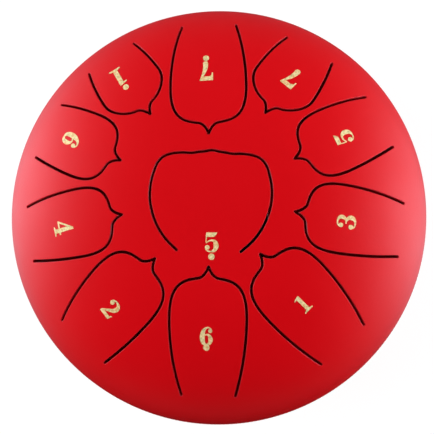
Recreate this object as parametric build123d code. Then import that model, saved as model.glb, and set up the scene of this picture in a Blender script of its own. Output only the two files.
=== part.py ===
from build123d import *
import math
import os

# A steel tongue drum: two pressed steel shells welded rim to rim, eleven tongues cut into the
# upper one, a numeral sticker on each tongue, and three rubber feet screwed to the lower shell.
# Frame: millimetres, +Z up, origin on the floor under the middle of the drum, +Y away from the
# player, so that the numeral of the middle tongue stands upright.

# Shells
RADIUS = 127.0            # outside of both shells: a 10 inch drum
SHEET = 1.5               # thickness of the pressed sheet
DOME_RISE = 64.0          # height of the domed part of the upper shell
DOME_HANDLE = 0.613       # handles of the dome's curve, as a share of its radius and rise
SKIRT = 2.0               # straight band of each shell beside the seam
KNUCKLE = 52.0            # outside radius where the lower shell turns into its flat base
SOUND_HOLE_RADIUS = 30.0
LIP_RADIUS = 3.0          # outside radius of the inward-turned edge of the sound hole
LIP_WALL = 3.0            # straight end of that edge
FOOT_HEIGHT = 10.0
BASE_Z = FOOT_HEIGHT
SEAM_Z = BASE_Z + KNUCKLE + SKIRT
DOME_Z = SEAM_Z + SKIRT   # height at which the dome starts
PRISM_HEIGHT = DOME_Z + DOME_RISE + 10.0   # cutting prisms stand on the floor and clear the dome

# Rim weld: both shells are bevelled, and the bead fills the groove and stands proud of it
WELD_BEVEL = 0.6
WELD_PROUD = 0.4

# Tongues
SLIT = 1.6                # width of the cut
SLIT_END_RADIUS = 110.6   # every outer slit stops on this circle
ROOT_RELIEF = 0.09        # gap at the root of each tongue, where the real sheet is continuous
CURVE_STEPS = 6           # points on each stretch of a tongue's edge
SURFACE_START = 10.3      # the revolved sheet closes on itself here, between two tongues

# Edge of an outer tongue from its pointed tip outward: along the axis, then across it
TIP_LIP = ((0.0, 0.0), (5.3, 2.0), (6.25, 4.6), (6.4, 5.6))

# Patterns of the outer tongues: half width, where it is widest, how fast it narrows from there
# to the root, and the lengths of the shoulder curve's handles at the lip and at the widest place
LARGE = (22.0, 29.0, 0.0034, 8.7, 19.7)
MEDIUM = (19.7, 25.7, 0.0032, 8.0, 15.6)
SMALL = (19.2, 21.4, 0.0046, 4.6, 8.4)

# Outer tongues: name, length from tip to root, direction of the axis in degrees, pattern.
# The lengths fall with the square root of the pitch, as a free bar's do.
OUTER_TONGUES = (
    ("low_6", 72.2, 268.4, LARGE),
    ("low_7", 70.2, 91.5, LARGE),
    ("1", 68.1, 312.8, LARGE),
    ("2", 64.0, 225.7, LARGE),
    ("3", 61.2, 352.6, MEDIUM),
    ("4", 58.1, 187.8, MEDIUM),
    ("5", 55.6, 27.1, MEDIUM),
    ("6", 51.6, 154.6, MEDIUM),
    ("7", 49.3, 58.7, SMALL),
    ("high_1", 46.9, 124.2, SMALL),
)

# Middle tongue: its axis points at the player, and its crown has a low hump and two ripples
CROWN_RADIUS = 29.2       # distance from the drum's middle to the crown
CROWN_DIRECTION = 268.0
CROWN_EDGE = (
    (0.0, 0.0), (0.75, 4.2), (1.2, 8.0), (1.85, 11.6), (1.65, 15.5), (1.75, 19.0), (2.3, 22.9),
    (3.7, 27.1), (6.7, 30.3), (10.7, 32.2), (19.0, 34.3), (28.0, 34.6), (36.6, 32.8),
    (44.4, 29.5), (51.5, 24.5), (57.4, 18.2),
)
CROWN_ROOT_BULGE = 1.4    # how far the middle tongue's root line bows towards the player

# Numeral stickers
STICKER_GAP = 0.02
STICKER = 0.12            # thickness of the foil
DOT_RADIUS = 1.8

# Where the digits sit: distance from the middle, direction, turn, size factor
DIGITS = {
    "low_6": (75.9, 267.9, 0.0, 0.9),
    "low_7": (77.7, 92.3, 0.0, 1.0),
    "1": (77.4, 311.9, 4.0, 1.0),
    "2": (83.2, 226.1, -9.0, 1.0),
    "3": (77.6, 351.4, 0.0, 1.0),
    "4": (87.1, 188.4, 4.0, 1.0),
    "5": (85.1, 26.4, -2.0, 1.0),
    "6": (91.6, 154.8, -8.0, 1.0),
    "7": (87.3, 57.5, -8.0, 1.05),
    "high_1": (94.5, 126.0, -6.0, 1.22),
}
LOW_6_DOT_RADIUS_FROM_MIDDLE = 82.2
LOW_7_DOT_RADIUS_FROM_MIDDLE = 86.0
HIGH_1_DOT_RADIUS_FROM_MIDDLE = 85.8
LOW_5_DIGIT = (0.6, -23.6)
LOW_5_DOT = (0.6, -31.6)

# Feet: a rubber foot, a screw with its head sunk in the foot, and a washer and nut inside
FOOT_CIRCLE = 62.0
FOOT_DIRECTIONS = (90.0, 210.0, 330.0)
FOOT_TOP_RADIUS = 11.0
FOOT_BOTTOM_RADIUS = 9.0
FOOT_ROUND = 1.2
FOOT_RECESS_RADIUS = 4.6
FOOT_RECESS_DEPTH = 5.5
FOOT_HOLE_RADIUS = 2.2
BASE_HOLE_RADIUS = 2.25
SCREW_RADIUS = 2.0        # M4
SCREW_LENGTH = 12.0
HEAD_RADIUS = 4.0
HEAD_HEIGHT = 2.4
CROSS_LENGTH = 4.2
CROSS_WIDTH = 1.0
CROSS_DEPTH = 1.3
WASHER_RADIUS = 4.5
WASHER_HOLE_RADIUS = 2.15
WASHER_THICKNESS = 0.8
NUT_FLATS = 7.0
NUT_THICKNESS = 3.2
NUT_BORE_RADIUS = 2.02
NUT_CORNER_ANGLE = 30.0


# ---------------------------------------------------------------- shells

def dome_curve(lift):
    """Section curve of the dome, from its top to its rim, lifted off the outside."""
    radius = RADIUS + lift
    rise = DOME_RISE + lift
    return Bezier(
        (0, 0, DOME_Z + rise), (DOME_HANDLE * radius, 0, DOME_Z + rise),
        (radius, 0, DOME_Z + DOME_HANDLE * rise), (radius, 0, DOME_Z),
    )


def path(points):
    """Straight lines through (radius, height) points in the section plane."""
    return Polyline(*[(r, 0, z) for r, z in points])


def turned(edges):
    """Solid of revolution about Z of the closed section bounded by these edges."""
    return revolve(make_face(edges), axis=Axis.Z)


def dome_blank():
    """The upper shell before its tongues are cut."""
    outside = dome_curve(0.0)
    inside = dome_curve(-SHEET)
    skirt = path([
        (RADIUS, DOME_Z), (RADIUS, SEAM_Z + WELD_BEVEL), (RADIUS - WELD_BEVEL, SEAM_Z),
        (RADIUS - SHEET, SEAM_Z), (RADIUS - SHEET, DOME_Z),
    ])
    axis_line = path([(0.0, DOME_Z + DOME_RISE - SHEET), (0.0, DOME_Z + DOME_RISE)])
    return Rot(0, 0, SURFACE_START) * turned([outside, skirt, inside, axis_line])


def bottom_shell():
    """The lower shell: a flat base with a lipped sound hole, a big knuckle and a straight skirt."""
    flat_radius = RADIUS - KNUCKLE
    lip_centre_radius = SOUND_HOLE_RADIUS + LIP_RADIUS
    lip_top = BASE_Z + LIP_RADIUS + LIP_WALL
    knuckle_z = BASE_Z + KNUCKLE
    diagonal = math.sqrt(0.5)
    outer_lip = ThreePointArc(
        (lip_centre_radius, 0, BASE_Z),
        (lip_centre_radius - LIP_RADIUS * diagonal, 0, BASE_Z + LIP_RADIUS * (1 - diagonal)),
        (SOUND_HOLE_RADIUS, 0, BASE_Z + LIP_RADIUS),
    )
    inner_lip_radius = LIP_RADIUS - SHEET
    inner_lip = ThreePointArc(
        (SOUND_HOLE_RADIUS + SHEET, 0, BASE_Z + LIP_RADIUS),
        (lip_centre_radius - inner_lip_radius * diagonal, 0,
         BASE_Z + LIP_RADIUS - inner_lip_radius * diagonal),
        (lip_centre_radius, 0, BASE_Z + SHEET),
    )
    outer_knuckle = ThreePointArc(
        (flat_radius, 0, BASE_Z),
        (flat_radius + KNUCKLE * diagonal, 0, knuckle_z - KNUCKLE * diagonal),
        (RADIUS, 0, knuckle_z),
    )
    inner_knuckle_radius = KNUCKLE - SHEET
    inner_knuckle = ThreePointArc(
        (RADIUS - SHEET, 0, knuckle_z),
        (flat_radius + inner_knuckle_radius * diagonal, 0,
         knuckle_z - inner_knuckle_radius * diagonal),
        (flat_radius, 0, BASE_Z + SHEET),
    )
    skirt = path([
        (RADIUS, knuckle_z), (RADIUS, SEAM_Z - WELD_BEVEL), (RADIUS - WELD_BEVEL, SEAM_Z),
        (RADIUS - SHEET, SEAM_Z), (RADIUS - SHEET, knuckle_z),
    ])
    lip_end = path([
        (SOUND_HOLE_RADIUS, BASE_Z + LIP_RADIUS), (SOUND_HOLE_RADIUS, lip_top),
        (SOUND_HOLE_RADIUS + SHEET, lip_top), (SOUND_HOLE_RADIUS + SHEET, BASE_Z + LIP_RADIUS),
    ])
    underside = path([(lip_centre_radius, BASE_Z), (flat_radius, BASE_Z)])
    inside = path([(flat_radius, BASE_Z + SHEET), (lip_centre_radius, BASE_Z + SHEET)])
    shell = turned([
        underside, outer_knuckle, skirt, inner_knuckle, inside, inner_lip, lip_end, outer_lip,
    ])
    screw_hole = Cylinder(BASE_HOLE_RADIUS, 4 * SHEET)
    for place in foot_places(BASE_Z + SHEET / 2):
        shell -= place * screw_hole
    return shell


def rim_weld():
    """The bead: it fills the V between the bevels and ends in a low rounded cap."""
    root = (RADIUS - WELD_BEVEL, 0, SEAM_Z)
    top = (RADIUS, 0, SEAM_Z + WELD_BEVEL)
    foot = (RADIUS, 0, SEAM_Z - WELD_BEVEL)
    cap = ThreePointArc(foot, (RADIUS + WELD_PROUD, 0, SEAM_Z), top)
    return turned([Line(root, foot), cap, Line(top, root)])


# ---------------------------------------------------------------- tongues

def bezier(handles, share):
    """Point of a cubic curve with these four handles."""
    rest = 1 - share
    weights = (rest ** 3, 3 * rest ** 2 * share, 3 * rest * share ** 2, share ** 3)
    along = sum(weight * handle[0] for weight, handle in zip(weights, handles))
    across = sum(weight * handle[1] for weight, handle in zip(weights, handles))
    return along, across


def smooth(nodes, steps):
    """Catmull-Rom points through nodes of any number of coordinates."""
    padded = [nodes[0], *nodes, nodes[-1]]
    points = []
    for before, start, end, after in zip(padded, padded[1:], padded[2:], padded[3:]):
        for step in range(steps):
            share = step / steps
            points.append(tuple(
                b + (c - a) * share / 2 + (2 * a - 5 * b + 4 * c - d) * share ** 2 / 2
                + (3 * b - a - 3 * c + d) * share ** 3 / 2
                for a, b, c, d in zip(before, start, end, after)
            ))
    points.append(tuple(nodes[-1]))
    return points


def outer_edge(length, pattern):
    """Half of an outer tongue's slit: (along, across) points from the tip to the root."""
    half_width, widest, taper, lip_handle, side_handle = pattern
    before, lip_end = TIP_LIP[-2:]
    turn = math.atan2(lip_end[1] - before[1], lip_end[0] - before[0])
    shoulder = (
        lip_end,
        (lip_end[0] + lip_handle * math.cos(turn), lip_end[1] + lip_handle * math.sin(turn)),
        (widest - side_handle, half_width),
        (widest, half_width),
    )
    points = [bezier(TIP_LIP, step / CURVE_STEPS) for step in range(CURVE_STEPS)]
    points += [bezier(shoulder, step / CURVE_STEPS) for step in range(CURVE_STEPS)]
    for step in range(CURVE_STEPS + 1):
        along = widest + (length - widest) * step / CURVE_STEPS
        points.append((along, half_width - taper * (along - widest) ** 2))
    return points


def direction_at(points, index):
    """Unit direction of a chain of points at one of them."""
    before = points[max(index - 1, 0)]
    after = points[min(index + 1, len(points) - 1)]
    length = math.hypot(after[0] - before[0], after[1] - before[1])
    return (after[0] - before[0]) / length, (after[1] - before[1]) / length


def moved_sideways(points, distance):
    """The chain moved away from the tongue by distance, cut or mitred where it meets the axis."""
    moved = []
    for index, point in enumerate(points):
        along, across = direction_at(points, index)
        moved.append((point[0] - across * distance, point[1] + along * distance))
    start = max(index for index, point in enumerate(moved) if index == 0 or point[1] <= 0)
    first, second = moved[start], moved[start + 1]
    share = first[1] / (first[1] - second[1])
    on_axis = (first[0] + share * (second[0] - first[0]), 0.0)
    kept = moved[start + 1:] if first[1] <= 0 else moved[start:]
    return [on_axis, *kept]


def both_sides(points):
    """The edge of one side as a chain of short curves, and its mirror image on the other side."""
    curves = []
    for side in (1, -1):
        for first in range(0, len(points) - 1, CURVE_STEPS):
            last = min(first + CURVE_STEPS, len(points) - 1)
            start = direction_at(points, first)
            end = direction_at(points, last)
            curves.append(Spline(
                *[(along, side * across) for along, across in points[first:last + 1]],
                tangents=[(start[0], side * start[1]), (end[0], side * end[1])],
            ))
    return curves


def slit_end(points, side):
    """The round end of the slit on one side."""
    along, across = points[-1]
    forward = direction_at(points, len(points) - 1)
    reach = SLIT / 2
    outer = (along - forward[1] * reach, side * (across + forward[0] * reach))
    pole = (along + forward[0] * reach, side * (across + forward[1] * reach))
    inner = (along + forward[1] * reach, side * (across - forward[0] * reach))
    return ThreePointArc(outer, pole, inner), inner


def root_curve(points, root_along, shift):
    """The root line between the slit ends, bowed out to root_along on the axis."""
    inner = slit_end(points, 1)[1]
    return ThreePointArc(
        (inner[0] - shift, inner[1]), (root_along - shift, 0.0), (inner[0] - shift, -inner[1]),
    )


def opening_face(points, root_along):
    """Everything that leaves the sheet: the tongue with the slit around it."""
    sides = both_sides(moved_sideways(points, SLIT / 2))
    right_end = slit_end(points, 1)[0]
    left_end = slit_end(points, -1)[0]
    return make_face([*sides, right_end, root_curve(points, root_along, 0.0), left_end])


def tongue_face(points, root_along):
    """The tongue inside its slit, with the relief at its root."""
    inner = slit_end(points, 1)[1]
    sides = both_sides(moved_sideways(points, -SLIT / 2))
    whole = make_face([*sides, root_curve(points, root_along, 0.0)])
    relief_start = inner[0] - ROOT_RELIEF
    far = 2 * root_along
    wide = 2 * inner[1]
    strip = make_face([
        root_curve(points, root_along, ROOT_RELIEF),
        Polyline(
            (relief_start, -inner[1]), (relief_start, -wide), (far, -wide), (far, wide),
            (relief_start, wide), (relief_start, inner[1]),
        ),
    ])
    return whole - strip


def tongue_plans():
    """Name, placement, slit edge and root distance of every tongue."""
    plans = []
    for name, length, direction, pattern in OUTER_TONGUES:
        points = outer_edge(length, pattern)
        root_middle = math.sqrt(SLIT_END_RADIUS ** 2 - points[-1][1] ** 2)
        tip_radius = root_middle - length
        place = Rot(0, 0, direction) * Pos(tip_radius, 0, 0)
        plans.append((name, place, points, SLIT_END_RADIUS - tip_radius))
    crown = smooth(CROWN_EDGE, 2)
    crown_place = Rot(0, 0, CROWN_DIRECTION) * Pos(-CROWN_RADIUS, 0, 0)
    plans.append(("low_5", crown_place, crown, CROWN_EDGE[-1][0] + CROWN_ROOT_BULGE))
    return plans


def cutter(face, place):
    """A vertical prism over the whole height of the dome."""
    return extrude(place * face, amount=PRISM_HEIGHT, dir=(0, 0, 1))


# ---------------------------------------------------------------- numerals

def stroke(*nodes):
    """A pen stroke through (x, y, half width) nodes."""
    line = smooth(nodes, 4)
    left = []
    right = []
    for index, (x, y, half) in enumerate(line):
        along, across = direction_at(line, index)
        left.append((x - across * half, y + along * half))
        right.append((x + across * half, y - along * half))
    right.reverse()
    return make_face([
        Spline(*left), Line(left[-1], right[0]), Spline(*right), Line(right[-1], left[0]),
    ])


def ball(x, y, radius):
    """A round terminal or an octave dot."""
    return Pos(x, y) * Circle(radius)


def plate(*corners):
    """A flat-sided piece of a digit."""
    return make_face(Polyline(*corners, close=True))


def digit_one():
    return plate(
        (-3.0, -5.0), (3.0, -5.0), (3.0, -4.4), (1.15, -3.9), (1.15, 5.0), (0.1, 5.0),
        (-2.8, 4.1), (-2.8, 3.6), (-1.15, 3.8), (-1.15, -3.9), (-3.0, -4.4),
    )


def digit_two():
    neck = stroke(
        (-3.0, 3.2, 0.35), (-2.6, 4.2, 0.4), (-0.5, 5.0, 0.45), (1.8, 4.2, 0.95),
        (2.6, 2.3, 1.25), (1.6, 0.1, 1.05), (-1.1, -2.3, 0.65), (-3.1, -4.2, 0.45),
    )
    base = plate(
        (-3.9, -5.4), (3.1, -5.4), (4.0, -2.3), (3.5, -2.3), (2.6, -3.5), (-2.6, -3.5),
        (-3.6, -4.2),
    )
    return neck + base + ball(-2.2, 2.9, 1.35)


def digit_three():
    upper = stroke(
        (-2.9, 3.3, 0.35), (-2.0, 4.6, 0.4), (0.1, 5.1, 0.45), (2.1, 4.3, 0.9),
        (2.7, 2.7, 1.15), (2.0, 1.0, 0.85), (0.4, 0.25, 0.4), (-0.9, 0.15, 0.3),
    )
    lower = stroke(
        (-0.9, 0.2, 0.3), (0.6, 0.1, 0.4), (2.4, -0.8, 0.95), (3.0, -2.5, 1.3),
        (2.1, -4.3, 0.95), (0.1, -5.1, 0.45), (-2.0, -4.7, 0.4), (-3.1, -3.4, 0.4),
    )
    return upper + lower + ball(-2.0, 2.9, 1.3) + ball(-2.3, -2.8, 1.35)


def digit_four():
    stem = plate((0.1, -5.2), (2.5, -5.2), (2.5, 6.0), (1.3, 6.0), (0.1, 4.0))
    slope = plate((1.3, 6.0), (-4.2, -2.5), (-4.2, -3.1), (-3.0, -2.6), (0.3, 2.9), (2.0, 6.0))
    bar = plate((-4.2, -3.1), (3.9, -3.1), (3.9, -2.2), (-4.0, -2.2))
    foot = plate((-1.5, -6.0), (4.1, -6.0), (4.1, -5.5), (2.5, -5.0), (0.1, -5.0), (-1.5, -5.5))
    return stem + slope + bar + foot


def digit_five():
    flag = plate((-2.7, 5.6), (3.4, 5.6), (2.9, 4.5), (1.6, 3.1), (-2.4, 3.1), (-2.8, 4.0))
    stem = stroke((-2.5, 5.4, 0.3), (-2.8, 2.6, 0.3), (-2.9, -0.2, 0.3))
    bowl = stroke(
        (-2.9, -0.3, 0.3), (-1.2, 0.9, 0.4), (0.8, 1.1, 0.6), (2.3, -0.1, 1.15),
        (2.7, -2.0, 1.4), (1.9, -4.1, 1.05), (0.1, -5.1, 0.45), (-2.0, -4.8, 0.4),
        (-3.1, -3.6, 0.4),
    )
    return flag + stem + bowl + ball(-2.3, -2.8, 1.35)


def digit_six():
    back = stroke(
        (3.1, 4.0, 0.35), (1.9, 5.2, 0.4), (0.2, 5.3, 0.5), (-1.6, 3.8, 1.0),
        (-2.5, 1.0, 1.5), (-2.5, -2.2, 1.5), (-1.6, -4.5, 1.05), (0.2, -5.3, 0.45),
    )
    bowl = stroke(
        (0.0, -5.3, 0.45), (1.8, -4.5, 0.95), (2.6, -2.3, 1.4), (2.0, 0.0, 1.0),
        (0.5, 1.1, 0.5), (-1.3, 0.4, 0.4),
    )
    return back + bowl + ball(2.3, 3.3, 1.3)


def digit_seven():
    bar = plate(
        (-3.9, 6.3), (3.9, 6.3), (3.9, 5.6), (2.6, 3.7), (-1.6, 3.7), (-2.9, 3.0), (-3.3, 1.3),
        (-3.9, 1.3),
    )
    leg = stroke(
        (3.4, 5.9, 0.4), (2.3, 3.4, 0.65), (1.1, 0.6, 1.0), (0.4, -2.4, 1.35), (0.3, -4.7, 1.5),
    )
    return bar + leg + ball(0.3, -4.7, 1.5)


DIGIT_SHAPES = {
    "1": digit_one, "2": digit_two, "3": digit_three, "4": digit_four, "5": digit_five,
    "6": digit_six, "7": digit_seven,
}


def foil_layer():
    """The thin layer just above the dome in which every sticker lies."""
    low = dome_curve(STICKER_GAP)
    high = dome_curve(STICKER_GAP + STICKER)
    return turned([low, Line(low @ 1, high @ 1), high, Line(high @ 0, low @ 0)])


def sticker(shape, layer):
    """The part of the foil layer over a flat shape."""
    return extrude(shape, amount=PRISM_HEIGHT, dir=(0, 0, 1)) & layer


def facing_middle(radius, direction, turn):
    """Placement of a digit that stands with its top towards the middle of the drum."""
    return Rot(0, 0, direction) * Pos(radius, 0, 0) * Rot(0, 0, 90.0 + turn)


def numeral_shapes():
    """The flat shape of every sticker, by node name."""
    shapes = {}
    for name, (radius, direction, turn, size) in DIGITS.items():
        digit = scale(DIGIT_SHAPES[name[-1]](), by=size)
        shapes["numeral_" + name] = facing_middle(radius, direction, turn) * digit
    dot = Circle(DOT_RADIUS)
    for name, radius in (
        ("low_6", LOW_6_DOT_RADIUS_FROM_MIDDLE),
        ("low_7", LOW_7_DOT_RADIUS_FROM_MIDDLE),
        ("high_1", HIGH_1_DOT_RADIUS_FROM_MIDDLE),
    ):
        shapes["numeral_" + name] += facing_middle(radius, DIGITS[name][1], 0.0) * dot
    shapes["numeral_low_5"] = Pos(*LOW_5_DIGIT) * digit_five()
    shapes["numeral_low_5_dot"] = Pos(*LOW_5_DOT) * dot
    return shapes


# ---------------------------------------------------------------- feet

def foot_places(height):
    """The three foot positions at this height."""
    return [Rot(0, 0, angle) * Pos(FOOT_CIRCLE, 0, height) for angle in FOOT_DIRECTIONS]


def foot():
    """A tapered rubber foot with a sunk screw seat; its bottom is at height zero."""
    body = turned([
        path([
            (FOOT_HOLE_RADIUS, FOOT_RECESS_DEPTH), (FOOT_RECESS_RADIUS, FOOT_RECESS_DEPTH),
            (FOOT_RECESS_RADIUS, 0.0), (FOOT_BOTTOM_RADIUS, 0.0), (FOOT_TOP_RADIUS, FOOT_HEIGHT),
            (FOOT_HOLE_RADIUS, FOOT_HEIGHT), (FOOT_HOLE_RADIUS, FOOT_RECESS_DEPTH),
        ]),
    ])
    outer_rim = body.faces().sort_by(Axis.Z)[0].edges().sort_by(SortBy.LENGTH)[-1]
    return fillet(outer_rim, FOOT_ROUND)


def screw():
    """A pan-head screw with a cross recess; the head's seat is at height zero, shank upward."""
    shank_end = SCREW_RADIUS - 0.4
    section = [
        path([
            (0.0, -HEAD_HEIGHT), (0.0, SCREW_LENGTH), (shank_end, SCREW_LENGTH),
            (SCREW_RADIUS, SCREW_LENGTH - 0.4), (SCREW_RADIUS, 0.0), (HEAD_RADIUS, 0.0),
            (HEAD_RADIUS, -HEAD_HEIGHT / 2),
        ]),
        Spline(
            (HEAD_RADIUS, 0, -HEAD_HEIGHT / 2), (HEAD_RADIUS * 0.72, 0, -HEAD_HEIGHT * 0.9),
            (0, 0, -HEAD_HEIGHT), tangents=[(0, 0, -1), (-1, 0, 0)],
        ),
    ]
    slot = Box(CROSS_LENGTH, CROSS_WIDTH, 2 * CROSS_DEPTH)
    recess = slot + Rot(0, 0, 90) * slot
    return turned(section) - Pos(0, 0, -HEAD_HEIGHT) * recess


def washer():
    """A plain washer on height zero."""
    ring = Circle(WASHER_RADIUS) - Circle(WASHER_HOLE_RADIUS)
    return extrude(ring, amount=WASHER_THICKNESS)


def nut():
    """A hexagon nut on height zero, with its corners turned down at both ends."""
    corner_radius = NUT_FLATS / math.sqrt(3)
    prism = extrude(RegularPolygon(corner_radius, 6), amount=NUT_THICKNESS)
    drop = (corner_radius - NUT_FLATS / 2) * math.tan(math.radians(NUT_CORNER_ANGLE))
    turned_blank = turned([path([
        (0.0, 0.0), (NUT_FLATS / 2, 0.0), (corner_radius, drop),
        (corner_radius, NUT_THICKNESS - drop), (NUT_FLATS / 2, NUT_THICKNESS),
        (0.0, NUT_THICKNESS), (0.0, 0.0),
    ])])
    bore = Pos(0, 0, NUT_THICKNESS / 2) * Cylinder(NUT_BORE_RADIUS, 2 * NUT_THICKNESS)
    return (prism & turned_blank) - bore


# ---------------------------------------------------------------- assembly

def group(piece, height):
    """One copy of a fastener at each foot."""
    return Compound(children=[place * piece for place in foot_places(height)])


def build():
    """Every node of the drum by name."""
    nodes = {"bottom_shell": bottom_shell(), "rim_weld": rim_weld()}
    blank = dome_blank()
    openings = []
    for name, place, points, root_along in tongue_plans():
        openings.append(cutter(opening_face(points, root_along), place))
        nodes["tongue_" + name] = blank & cutter(tongue_face(points, root_along), place)
    nodes["top_shell"] = blank - openings
    layer = foil_layer()
    for name, shape in numeral_shapes().items():
        nodes[name] = sticker(shape, layer)
    for index, place in enumerate(foot_places(0.0)):
        nodes[f"foot_{index + 1}"] = place * foot()
    inside_z = BASE_Z + SHEET
    nodes["foot_screws"] = group(screw(), FOOT_RECESS_DEPTH)
    nodes["foot_washers"] = group(washer(), inside_z)
    nodes["foot_nuts"] = group(nut(), inside_z + WASHER_THICKNESS)
    return nodes


os.makedirs("parts", exist_ok=True)
for node_name, node in build().items():
    export_step(node, f"parts/{node_name}.step")
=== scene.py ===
import math

import bpy
import numpy as np
from mathutils import Matrix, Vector
from mathutils.geometry import delaunay_2d_cdt
from mathutils.kdtree import KDTree


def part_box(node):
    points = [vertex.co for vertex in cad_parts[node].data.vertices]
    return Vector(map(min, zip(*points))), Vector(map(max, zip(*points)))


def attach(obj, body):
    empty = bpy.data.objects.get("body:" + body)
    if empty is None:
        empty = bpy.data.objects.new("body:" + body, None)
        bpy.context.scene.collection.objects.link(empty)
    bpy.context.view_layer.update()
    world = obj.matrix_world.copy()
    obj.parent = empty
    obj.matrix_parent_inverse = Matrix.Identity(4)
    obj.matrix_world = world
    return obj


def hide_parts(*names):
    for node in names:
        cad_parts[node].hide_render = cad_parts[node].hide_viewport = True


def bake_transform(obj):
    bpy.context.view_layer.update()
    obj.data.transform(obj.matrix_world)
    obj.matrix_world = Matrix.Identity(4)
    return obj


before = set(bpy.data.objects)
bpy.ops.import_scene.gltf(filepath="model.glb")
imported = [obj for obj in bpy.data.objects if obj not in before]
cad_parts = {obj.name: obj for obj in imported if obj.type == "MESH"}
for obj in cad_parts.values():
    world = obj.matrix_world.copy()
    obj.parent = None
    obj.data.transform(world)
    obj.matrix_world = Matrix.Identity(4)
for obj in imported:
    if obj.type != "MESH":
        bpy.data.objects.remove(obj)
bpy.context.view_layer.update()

# A red steel tongue drum. The imported model gives the frame and the stickers, screws, washers and
# nuts. The two shells, the weld, the tongues and the feet get finer meshes here, with rounded slit
# edges. Shape code works in millimetres and is turned into metres when a mesh is made.

MM = 0.001


def box_mm(node):
    """Lowest and highest corner of a CAD node, in millimetres."""
    low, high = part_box(node)
    return np.array(low) / MM, np.array(high) / MM


# ---------------------------------------------------------------- sizes taken from the frame

TOP_LOW, TOP_HIGH = box_mm("top_shell")
BASE_LOW, _ = box_mm("bottom_shell")
_, WELD_HIGH = box_mm("rim_weld")
FOOT_LOW, FOOT_HIGH = box_mm("foot_1")
WASHER_LOW, _ = box_mm("foot_washers")

RADIUS = TOP_HIGH[0]
SEAM_Z = TOP_LOW[2]
BASE_Z = BASE_LOW[2]
SHEET = WASHER_LOW[2] - BASE_Z
BEAD_RADIUS = WELD_HIGH[0]
BEVEL = WELD_HIGH[2] - SEAM_Z
FOOT_TOP_RADIUS = (FOOT_HIGH[0] - FOOT_LOW[0]) / 2
FOOT_CIRCLE = FOOT_HIGH[1] - FOOT_TOP_RADIUS

# Shape values of the drum that no box shows
SKIRT = 2.0               # straight band of each shell beside the seam
DOME_Z = SEAM_Z + SKIRT
DOME_RISE = 64.0
DOME_HANDLE = 0.613       # handles of the dome's curve, as a share of its radius and rise
KNUCKLE = SEAM_Z - SKIRT - BASE_Z
SOUND_HOLE_RADIUS = 30.0
LIP_RADIUS = 3.0          # outside radius of the inward-turned edge of the sound hole
LIP_WALL = 3.0            # height of its straight end
SCREW_HOLE_RADIUS = 2.25
FOOT_BOTTOM_RADIUS = 9.0
FOOT_RECESS_RADIUS = 4.6
FOOT_RECESS_DEPTH = 5.5
FOOT_HOLE_RADIUS = 2.2
FOOT_GROOVES = (3.9, 6.4) # heights of the two grooves around a foot
GROOVE_REACH = 0.6        # half the height of a groove
WELD_RIPPLES = 330        # ripples of the bead around the rim
RIPPLE_DEPTH = 0.07       # and how deep they are

# Slits and tongues
SLIT = 1.6                # width of the cut
SLIT_END_RADIUS = 110.6   # every outer slit stops on this circle
CROWN_RADIUS = 29.2       # distance of the middle tongue's free edge from the drum's middle
CROWN_DIRECTION = 268.0   # direction of its axis, in degrees
CROWN_ROOT_BULGE = 1.4    # how far its root line bows out
# Edge of an outer tongue from its pointed tip outward: along the axis, then across it
TIP_LIP = ((0.0, 0.0), (5.3, 2.0), (6.25, 4.6), (6.4, 5.6))
# Half width, where it is widest, how fast it narrows to the root, and two handle lengths
LARGE = (22.0, 29.0, 0.0034, 8.7, 19.7)
MEDIUM = (19.7, 25.7, 0.0032, 8.0, 15.6)
SMALL = (19.2, 21.4, 0.0046, 4.6, 8.4)
# Length from tip to root, direction of the axis in degrees, pattern
OUTER_TONGUES = {
    "low_6": (72.2, 268.4, LARGE),
    "low_7": (70.2, 91.5, LARGE),
    "1": (68.1, 312.8, LARGE),
    "2": (64.0, 225.7, LARGE),
    "3": (61.2, 352.6, MEDIUM),
    "4": (58.1, 187.8, MEDIUM),
    "5": (55.6, 27.1, MEDIUM),
    "6": (51.6, 154.6, MEDIUM),
    "7": (49.3, 58.7, SMALL),
    "high_1": (46.9, 124.2, SMALL),
}
# Half of the middle tongue's edge, from its free edge to its root
CROWN_EDGE = (
    (0.0, 0.0), (0.75, 4.2), (1.2, 8.0), (1.85, 11.6), (1.65, 15.5), (1.75, 19.0), (2.3, 22.9),
    (3.7, 27.1), (6.7, 30.3), (10.7, 32.2), (19.0, 34.3), (28.0, 34.6), (36.6, 32.8),
    (44.4, 29.5), (51.5, 24.5), (57.4, 18.2),
)

# Mesh detail
DECIMALS = 4              # points that agree to this many decimals of a millimetre are one point
MERGE = 1e-5              # points of an outline that lie closer than this are joined
CROWDED = 0.97            # a moved point stays only this share of its distance or more from the path
EDGE_ROUND = 0.3          # rounding of the slit edges
EDGE_STEPS = 3            # strips across that rounding
TIP_STEPS = 5             # points on half of a slit's rounded point
LIP_CURVE_STEPS = 10      # strips along the lip beside a tongue's tip
SHOULDER_STEPS = 20       # strips along its shoulder
SIDE_SPACING = 2.0        # spacing of the points along its side
CROWN_STEPS = 3           # strips between two points of the middle tongue's edge
SLIT_END_STEPS = 8        # strips around the round end of a slit
ROOT_SPACING = 4.0        # spacing of the points on a root line
EDGE_FRAME = 1.1          # a loop this far from each slit keeps the surface beside it even
GRID = 3.0                # spacing of the points on an open surface
AROUND = 256              # points around the rim
FOOT_AROUND = 96          # points around a foot
HOLE_AROUND = 32          # points around a screw hole in the base
KNUCKLE_STEPS = 28        # strips across the round between the base and the side
LIP_STEPS = 10            # strips across the outer rounds of the sound hole's edge
JOIN_RADIUS = 117.0       # outside this circle the dome is made of plain rings


# ---------------------------------------------------------------- mesh from loose faces

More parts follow.
